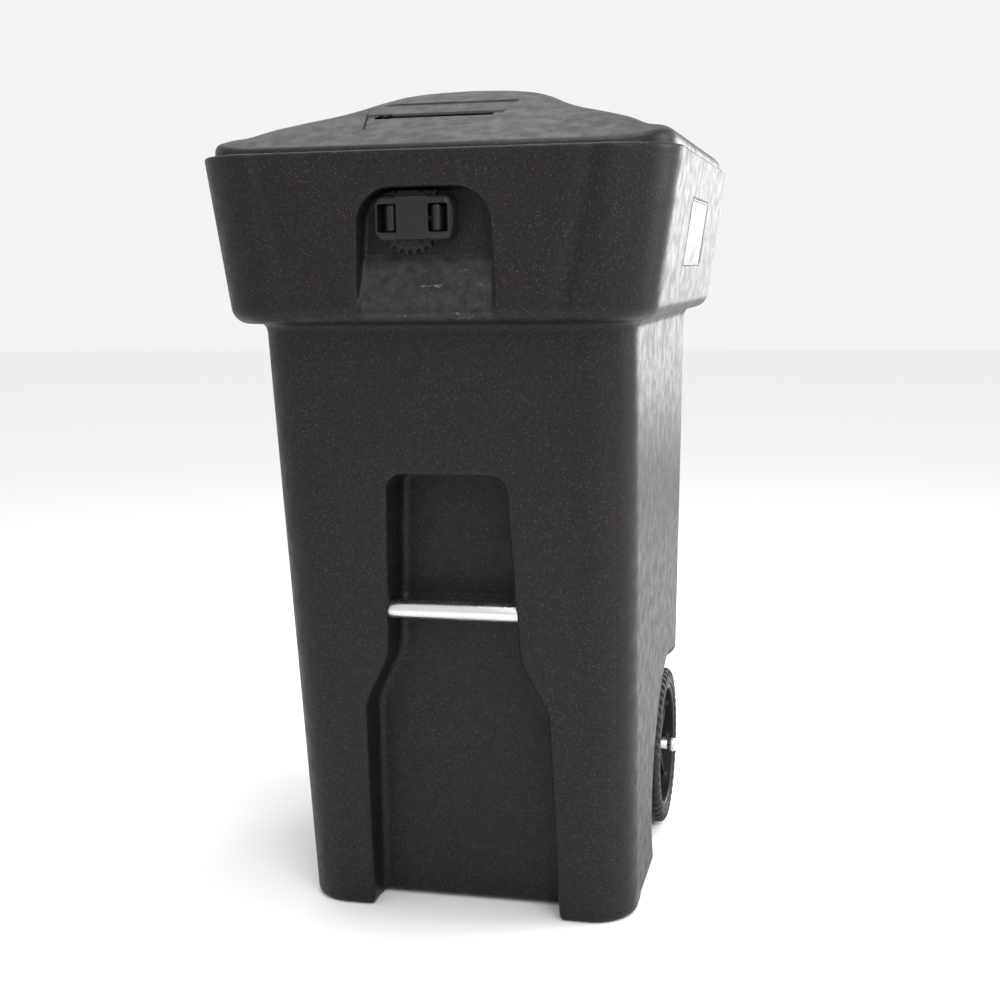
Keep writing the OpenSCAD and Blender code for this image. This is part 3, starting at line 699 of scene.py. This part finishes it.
def granite_plastic(name, base, specks, with_paler_pocket=False):
    """Dark rotomoulded plastic full of fine pale and brown flecks, with a pebbled skin."""
    g = Graph(name)
    cloud = g.ramp(g.noise(9.0, 4.0, 0.6), 0.3, 0.7, to=(0.75, 1.3))
    colour = g.mix(g.ramp(g.noise(260.0, 3.0, 0.6), 0.45, 0.62), base, tuple(1.8 * c for c in base))
    grains = g.cells(430.0, "Color")
    level = g.node("ShaderNodeSeparateColor", {"Color": grains})
    near = g.ramp(g.cells(430.0), 0.16, 0.34, to=(1.0, 0.0))
    pale = g.maths("MULTIPLY", near, g.ramp(level.outputs[0], 0.80, 0.84))
    brown = g.maths("MULTIPLY", near, g.ramp(level.outputs[1], 0.86, 0.9))
    colour = g.mix(g.maths("MULTIPLY", pale, specks[2]), colour, specks[0])
    colour = g.mix(g.maths("MULTIPLY", brown, specks[2]), colour, specks[1])
    colour = g.mix(g.maths("MULTIPLY", g.ramp(cloud, 0.7, 1.3, smooth=False), 0.35), colour, base)
    scratch = g.noise(60.0, 5.0, 0.7, g.stretched((1.0, 1.0, 0.12)))
    worn = g.maths("MULTIPLY", g.ramp(scratch, 0.62, 0.74), 0.25)
    colour = g.mix(worn, colour, tuple(4 * c for c in base))
    # the latch pocket's lower ramp is painted paler, with pale marks through it
    if with_paler_pocket:
        colour = paler_pocket_ramp(g, colour)
    pebbles = g.maths("ADD", g.noise(330.0, 2.0, 0.5), g.maths("MULTIPLY", g.noise(1300.0, 2.0), 0.35))
    waves = g.maths("MULTIPLY", g.noise(16.0, 2.0), 1.0)
    roughness = g.ramp(g.noise(45.0, 4.0, 0.6), 0.3, 0.7, to=(0.38, 0.52))
    return g.finish(colour, roughness, g.maths("ADD", pebbles, waves), 0.16, specular=0.2)


def paler_pocket_ramp(g, colour):
    """Paints the lower half of the latch pocket, where its floor ramps out, paler and mottled, with pale
    marks.
    """
    z, x = g.axis("Z"), g.maths("ABSOLUTE", g.axis("X"))
    low = g.ramp(z, (POCKET_STEP - 1) * MM, (POCKET_STEP + 1) * MM, to=(1.0, 0.0))
    low = g.maths("MULTIPLY", low, g.ramp(z, 0.846, 0.858))
    inside = g.maths("MULTIPLY", low, g.ramp(x, 0.083, 0.086, to=(1.0, 0.0)))
    front = g.ramp(g.axis("Y"), -0.4185, -0.4165)
    depth = g.maths("MULTIPLY", front, g.ramp(g.axis("Y"), -0.385, -0.38, to=(1.0, 0.0)))
    inside = g.maths("MULTIPLY", inside, depth)
    mottle = g.ramp(g.noise(70.0, 6.0, 0.7), 0.35, 0.65)
    # paler, mottled colour for the pocket's lower ramp, then bright pale marks mixed into it
    paler_tone = g.mix(mottle, (0.016, 0.0155, 0.015), (0.034, 0.033, 0.032))
    marks = g.ramp(g.noise(38.0, 6.0, 0.75, g.stretched((1.0, 1.0, 2.2))), 0.62, 0.70)
    paler_tone = g.mix(g.maths("MULTIPLY", marks, 0.8), paler_tone, (0.16, 0.155, 0.15))
    return g.mix(inside, colour, paler_tone)


def satin_plastic(name, base, roughness, depth=0.03, grime=0.3):
    """Injection-moulded plastic with a fine spark texture and faint handling marks."""
    g = Graph(name)
    marks = g.ramp(g.noise(55.0, 5.0, 0.7), 0.55, 0.75)
    colour = g.mix(g.maths("MULTIPLY", marks, grime), base, tuple(2.4 * c for c in base))
    dust = g.ramp(g.noise(700.0, 2.0), 0.62, 0.72)
    colour = g.mix(g.maths("MULTIPLY", dust, 0.25), colour, tuple(4 * c for c in base))
    rough = g.ramp(g.noise(30.0, 4.0, 0.6), 0.3, 0.7, to=(roughness - 0.05, roughness + 0.08))
    grain = g.maths("ADD", g.noise(1500.0, 2.0), g.maths("MULTIPLY", g.noise(40.0, 2.0), 1.5))
    return g.finish(colour, rough, grain, depth, specular=0.3)


def rubber(name):
    """Tyre rubber with grey road dust held in its pores."""
    g = Graph(name)
    dust = g.ramp(g.noise(35.0, 6.0, 0.7), 0.4, 0.75)
    colour = g.mix(g.maths("MULTIPLY", dust, 0.5), (0.007, 0.007, 0.007), (0.032, 0.030, 0.028))
    pores = g.ramp(g.cells(900.0), 0.0, 0.5)
    rough = g.ramp(dust, 0.0, 1.0, to=(0.52, 0.75))
    return g.finish(colour, rough, g.maths("ADD", pores, g.noise(220.0, 3.0)), 0.12, specular=0.3)


def plated_steel(name, base, roughness, along=(0.02, 1.0, 1.0), stain=0.25):
    """Plated steel with fine drawing lines along one axis and cloudy plating."""
    g = Graph(name)
    lines = g.noise(900.0, 3.0, 0.6, g.stretched(along))
    cloud = g.ramp(g.noise(40.0, 5.0, 0.65), 0.45, 0.75)
    colour = g.mix(g.maths("MULTIPLY", cloud, stain), base, tuple(0.45 * c for c in base))
    rough = g.maths("ADD", g.ramp(lines, 0.3, 0.7, to=(roughness - 0.06, roughness + 0.08)),
                    g.maths("MULTIPLY", cloud, 0.12))
    return g.finish(colour, rough, lines, 0.02, metallic=1.0)


def label_plastic(name):
    """Paler panel plastic with a fine leather grain."""
    g = Graph(name)
    colour = g.mix(g.ramp(g.noise(300.0, 3.0, 0.6), 0.4, 0.65), (0.020, 0.019, 0.018), (0.034, 0.032, 0.031))
    paler_tone = g.ramp(g.noise(24.0, 6.0, 0.7, g.stretched((1.0, 0.4, 1.0))), 0.55, 0.72)
    colour = g.mix(g.maths("MULTIPLY", paler_tone, 0.4), colour, (0.07, 0.068, 0.065))
    grain = g.ramp(g.cells(1100.0), 0.0, 0.6)
    return g.finish(colour, g.ramp(paler_tone, 0.0, 1.0, to=(0.42, 0.55)), grain, 0.04, specular=0.3)


def dress(pieces, material):
    for piece in pieces:
        piece.data.materials.clear()
        piece.data.materials.append(material)


# ---------------------------------------------------------------- studio
CAMERA_AT = (0.5284, -2.2403, 0.9151)
CAMERA_YAW, CAMERA_PITCH, CAMERA_ROLL = 13.44, -8.84, -0.85
CAMERA_LENS = 53.85
FLOOR_HALF = 14.0


def make_camera():
    data = bpy.data.cameras.new("camera")
    data.lens = CAMERA_LENS
    data.sensor_width = 36
    camera = bpy.data.objects.new("camera", data)
    bpy.context.collection.objects.link(camera)
    yaw = Matrix.Rotation(math.radians(CAMERA_YAW), 4, "Z")
    pitch = Matrix.Rotation(math.radians(90 + CAMERA_PITCH), 4, "X")
    roll = Matrix.Rotation(math.radians(CAMERA_ROLL), 4, "Z")
    camera.matrix_world = Matrix.Translation(CAMERA_AT) @ yaw @ pitch @ roll
    bpy.context.scene.camera = camera


def area_light(name, at, aim, size, power):
    data = bpy.data.lights.new(name, "AREA")
    data.shape = "RECTANGLE"
    data.size, data.size_y = size
    data.energy = power
    lamp = bpy.data.objects.new(name, data)
    lamp.location = at
    lamp.rotation_euler = (Vector(aim) - Vector(at)).to_track_quat("-Z", "Y").to_euler()
    lamp.visible_camera = False
    bpy.context.collection.objects.link(lamp)


def make_studio():
    mesh = bpy.data.meshes.new("floor")
    corners = [(x * FLOOR_HALF, y * FLOOR_HALF, 0) for x, y in ((-1, -1), (1, -1), (1, 1), (-1, 1))]
    mesh.from_pydata(corners, [], [(0, 1, 2, 3)])
    floor = bpy.data.objects.new("floor", mesh)
    bpy.context.collection.objects.link(floor)
    g = Graph("floor_paper")
    dress([floor], g.finish((0.95, 0.95, 0.95, 1), 0.9, specular=0.1))
    world = bpy.context.scene.world or bpy.data.worlds.new("world")
    bpy.context.scene.world = world
    world.use_nodes = True
    sky = world.node_tree.nodes["Background"]
    sky.inputs[0].default_value = (1, 1, 1, 1)
    sky.inputs[1].default_value = 0.9
    bpy.context.scene.view_settings.view_transform = "Standard"
    area_light("edge_panel", (1.35, 2.7, 1.05), (0.25, 0, 0.6), (1.0, 1.3), 36)
    area_light("right_panel", (2.6, 0.3, 1.6), (0, 0, 0.7), (1.2, 1.8), 50)
    area_light("front_panel", (1.6, -2.6, 2.2), (0, 0, 0.7), (1.6, 1.6), 45)
    area_light("top_panel", (0.3, -0.4, 3.3), (0, 0, 0.8), (1.6, 1.6), 40)
    area_light("rim_panel", (-0.7, 1.0, 2.7), (0, -0.4, 1.0), (1.6, 0.8), 9)


# ---------------------------------------------------------------- putting it together
BODY_BLACK = (0.0078, 0.0070, 0.0064)
SPECKS = ((0.115, 0.108, 0.10), (0.085, 0.048, 0.034), 0.7)


def main():
    make_camera()
    make_studio()
    dress([make_body()], granite_plastic("body_granite", BODY_BLACK, SPECKS, with_paler_pocket=True))
    dress([make_lid()], granite_plastic("lid_granite", BODY_BLACK, SPECKS))
    dress(make_latch(), satin_plastic("latch_satin", (0.010, 0.010, 0.0105), 0.33))
    wheels = make_wheels()
    dress(wheels[:2], rubber("tyre_rubber"))
    dress(wheels[2:], satin_plastic("wheel_satin", (0.009, 0.009, 0.009), 0.42, 0.06))
    lift_bar, *steel = make_metal()
    dress([lift_bar], plated_steel("bar_zinc", (0.72, 0.73, 0.75), 0.27))
    dress(steel, plated_steel("axle_zinc", (0.62, 0.62, 0.63), 0.24))
    dress(make_panels(), label_plastic("panel_grain"))
    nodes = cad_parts
    dress([nodes["keeper"], nodes["latch_back_plate"]],
          plated_steel("bracket_zinc", (0.5, 0.5, 0.51), 0.33))
    dress([nodes[n] for n in nodes if "screw" in n or n == "axle_washers"],
          plated_steel("screw_zinc", (0.58, 0.58, 0.6), 0.28, (1.0, 1.0, 1.0)))
    dress([nodes["latch_spring_left"], nodes["latch_spring_right"]],
          plated_steel("spring_wire", (0.42, 0.41, 0.4), 0.25, (1.0, 1.0, 1.0)))
    dress([nodes["hinge_bush_left"], nodes["hinge_bush_right"]],
          satin_plastic("bush_nylon", (0.014, 0.014, 0.014), 0.36))
    dress([nodes["catch_bar_plugs"]], satin_plastic("plug_nylon", (0.014, 0.014, 0.014), 0.36))
    dress([nodes["latch_bolt_left"], nodes["latch_bolt_right"]],
          plated_steel("bolt_zinc", (0.55, 0.55, 0.56), 0.3))


main()
